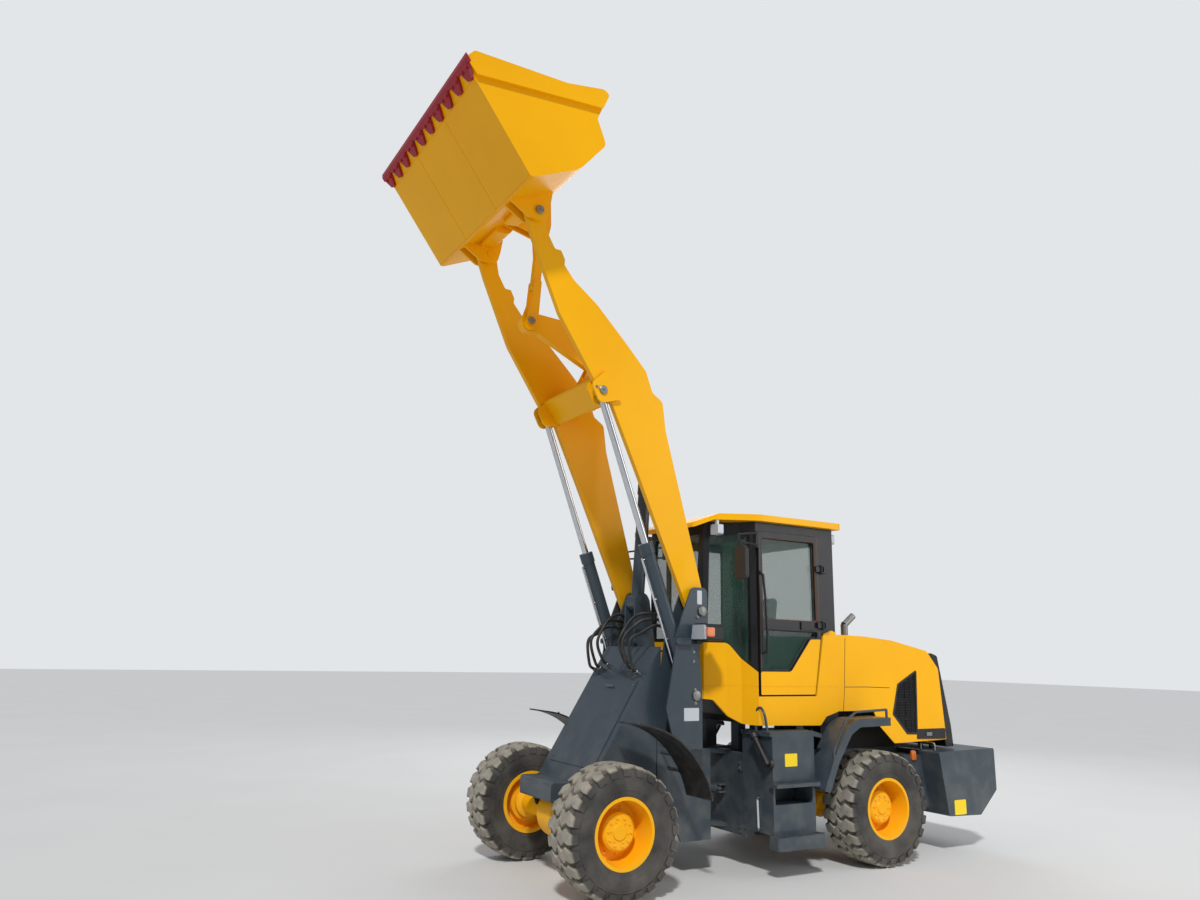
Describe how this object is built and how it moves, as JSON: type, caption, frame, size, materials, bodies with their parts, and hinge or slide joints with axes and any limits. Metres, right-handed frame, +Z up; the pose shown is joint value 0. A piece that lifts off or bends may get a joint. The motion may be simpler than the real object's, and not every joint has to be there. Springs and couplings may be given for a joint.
{
  "type": "compact wheel loader",
  "caption": "Articulated wheel loader with a glazed cab, raised lift arms, a rolled-back bucket and working steering, boom, bucket, door and hood joints.",
  "frame": {"origin": "on the ground, midway between the axles and across the middle, below the steering pivot", "axes": "+X forward to the bucket, +Y to the machine's left (door side), +Z up"},
  "size_m": [5.8252, 2.1, 6.263],
  "materials": {
    "tyre": "dusty black rubber with lighter dusty tread",
    "rim": "orange-yellow gloss paint",
    "yellow": "gloss construction yellow",
    "slate": "satin slate grey",
    "black": "satin black",
    "rubber": "black rubber",
    "dark_plastic": "matte black",
    "glass": "green-tinted clear glass",
    "lamp": "clear lamp lens in a dark housing",
    "seat_fabric": "dark cloth",
    "engine": "cast iron, painted dark grey",
    "steel": "weathered grey steel",
    "chrome": "polished chrome rod",
    "red": "dark red, satin"
  },
  "bodies": {
    "rear_frame": {"cab_front": "black", "cab_glass": "glass", "cab_panels": "yellow", "cab_roof": "yellow", "cab_shell": "black", "counterweight": "slate", "engine_block": "engine", "mirrors": "dark_plastic", "platform_left": "slate", "platform_right": "slate", "rear_axle": "rim", "rear_chassis": "slate", "rear_fenders": "slate", "seat": "seat_fabric", "steering_column": "dark_plastic", "work_lamps": "lamp"},
    "bellcrank": {"bellcrank": "yellow"},
    "boom": {"lift_arms": "yellow"},
    "bucket": {"bucket_shell": "yellow", "cutting_edge": "red"},
    "door": {"door_frame": "black", "door_glass": "glass", "door_skin": "yellow"},
    "front_frame": {"front_axle": "rim", "front_chassis": "slate", "front_fenders": "rubber", "front_nose": "slate", "headlamp_lenses": "lamp", "headlamps": "dark_plastic", "hoses": "rubber", "tower_pins": "steel", "tower_plates": "slate"},
    "hood": {"exhaust": "steel", "hood_grilles": "black", "hood_rear_trim": "black", "hood_shell": "yellow"},
    "lift_barrel": {"hose_pipes": "chrome", "lift_barrels": "slate"},
    "lift_rod": {"lift_rods": "chrome"},
    "link": {"bucket_link": "yellow"},
    "steer_barrel_left": {"steer_barrel_left": "slate"},
    "steer_barrel_right": {"steer_barrel_right": "slate"},
    "steer_rod_left": {"steer_rod_left": "chrome"},
    "steer_rod_right": {"steer_rod_right": "chrome"},
    "tilt_barrel": {"tilt_barrel": "slate"},
    "tilt_rod": {"tilt_rod": "chrome"},
    "wheel_front_left": {"rim_front_left": "rim", "tyre_front_left": "tyre"},
    "wheel_front_right": {"rim_front_right": "rim", "tyre_front_right": "tyre"},
    "wheel_rear_left": {"rim_rear_left": "rim", "tyre_rear_left": "tyre"},
    "wheel_rear_right": {"rim_rear_right": "rim", "tyre_rear_right": "tyre"}
  },
  "joints": [
    {"name": "steer", "type": "hinge", "parent": "rear_frame", "child": "front_frame", "pos_m": [0, 0, 0.6], "axis": [0, 0, 1], "range_deg": [-35, 35]},
    {"name": "wheel_front_left_spin", "type": "hinge", "parent": "front_frame", "child": "wheel_front_left", "pos_m": [1.331, 0.768, 0.47], "axis": [0, 1, 0], "continuous": true},
    {"name": "wheel_front_right_spin", "type": "hinge", "parent": "front_frame", "child": "wheel_front_right", "pos_m": [1.331, -0.768, 0.47], "axis": [0, 1, 0], "continuous": true},
    {"name": "wheel_rear_left_spin", "type": "hinge", "parent": "rear_frame", "child": "wheel_rear_left", "pos_m": [-1.331, 0.768, 0.47], "axis": [0, 1, 0], "continuous": true},
    {"name": "wheel_rear_right_spin", "type": "hinge", "parent": "rear_frame", "child": "wheel_rear_right", "pos_m": [-1.331, -0.768, 0.47], "axis": [0, 1, 0], "continuous": true},
    {"name": "door_hinge", "type": "hinge", "parent": "rear_frame", "child": "door", "pos_m": [-0.835, 0.722, 2.2], "axis": [0, 0, 1], "range_deg": [0, 100]},
    {"name": "hood_hinge", "type": "hinge", "parent": "rear_frame", "child": "hood", "pos_m": [-2.545, 0, 0.935], "axis": [0, -1, 0], "range_deg": [0, 45]},
    {"name": "boom_lower", "type": "hinge", "parent": "front_frame", "child": "boom", "pos_m": [0.39, 0, 2.08], "axis": [0, 1, 0], "range_deg": [0, 93.5]},
    {"name": "bucket_roll", "type": "hinge", "parent": "boom", "child": "bucket", "pos_m": [2.022, 0, 5.283], "axis": [0, -1, 0], "range_deg": [-88, 86]},
    {"name": "bellcrank_turn", "type": "hinge", "parent": "boom", "child": "bellcrank", "pos_m": [1.05, 0, 4.35], "axis": [0, -1, 0], "range_deg": [-13.4, 13.7]},
    {"name": "link_turn", "type": "hinge", "parent": "bucket", "child": "link", "pos_m": [1.75, 0, 5.41], "axis": [0, -1, 0], "range_deg": [-69.3, 70.9]},
    {"name": "lift_barrel_turn", "type": "hinge", "parent": "front_frame", "child": "lift_barrel", "pos_m": [0.45, 0, 1.4], "axis": [0, 1, 0], "range_deg": [-0.5, 83.8]},
    {"name": "lift_rod_slide", "type": "slide", "parent": "lift_barrel", "child": "lift_rod", "axis": [0.3526, 0, 0.9358], "range_m": [-0.9264, 0.005]},
    {"name": "tilt_barrel_turn", "type": "hinge", "parent": "front_frame", "child": "tilt_barrel", "pos_m": [0.66, 0, 2.16], "axis": [0, 1, 0], "range_deg": [-0.5, 102.79]},
    {"name": "tilt_rod_slide", "type": "slide", "parent": "tilt_barrel", "child": "tilt_rod", "axis": [-0.0676, 0, 0.9977], "range_m": [-0.1279, 0.1251]},
    {"name": "steer_barrel_left_turn", "type": "hinge", "parent": "rear_frame", "child": "steer_barrel_left", "pos_m": [-0.098, 0.165, 0.61], "axis": [0, 0, 1], "range_deg": [-27.52, 27.52]},
    {"name": "steer_rod_left_slide", "type": "slide", "parent": "steer_barrel_left", "child": "steer_rod_left", "axis": [0.9994, -0.035, 0], "range_m": [-0.1007, 0.1007]},
    {"name": "steer_barrel_right_turn", "type": "hinge", "parent": "rear_frame", "child": "steer_barrel_right", "pos_m": [-0.098, -0.165, 0.61], "axis": [0, 0, 1], "range_deg": [-27.52, 27.52]},
    {"name": "steer_rod_right_slide", "type": "slide", "parent": "steer_barrel_right", "child": "steer_rod_right", "axis": [0.9994, 0.035, 0], "range_m": [-0.1007, 0.1007]}
  ],
  "couplings": [
    {"joint": "bellcrank_turn", "follows": "bucket_roll", "ratio": -0.15},
    {"joint": "link_turn", "follows": "bucket_roll", "ratio": -0.8},
    {"joint": "lift_barrel_turn", "follows": "boom_lower", "ratio": 0.8909},
    {"joint": "lift_rod_slide", "follows": "boom_lower", "m_per_rad": -0.5646},
    {"joint": "tilt_barrel_turn", "follows": "boom_lower", "ratio": 1.094},
    {"joint": "tilt_rod_slide", "follows": "bucket_roll", "m_per_rad": 0.08},
    {"joint": "steer_barrel_left_turn", "follows": "steer", "ratio": 0.772},
    {"joint": "steer_rod_left_slide", "follows": "steer", "m_per_rad": -0.1583},
    {"joint": "steer_barrel_right_turn", "follows": "steer", "ratio": 0.772},
    {"joint": "steer_rod_right_slide", "follows": "steer", "m_per_rad": 0.1583}
  ]
}
